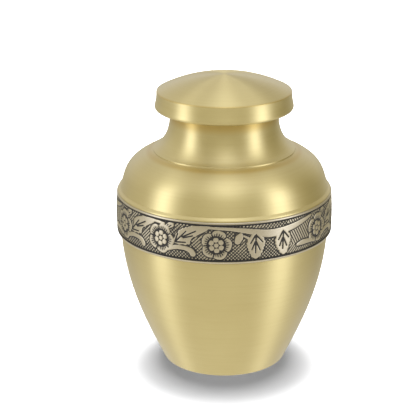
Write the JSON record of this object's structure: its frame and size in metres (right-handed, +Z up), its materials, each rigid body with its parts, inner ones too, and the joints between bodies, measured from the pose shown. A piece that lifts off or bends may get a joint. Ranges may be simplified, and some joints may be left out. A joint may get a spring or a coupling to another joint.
{
  "type": "cremation urn",
  "caption": "Round-shouldered brass urn with a narrow neck, an engraved band round its belly and a domed lid that lifts off; it holds ashes.",
  "frame": {"origin": "centre of the plane that the urn stands on", "axes": "+Z up, along the urn's axis of revolution"},
  "size_m": [0.1758, 0.1758, 0.2404],
  "materials": {
    "brass": "satin, brushed round the axis",
    "antiqued_pewter": "engraved, with blackened hollows"
  },
  "bodies": {
    "root": {"vessel": "brass", "band": "antiqued_pewter", "lid": "brass"}
  },
  "joints": []
}
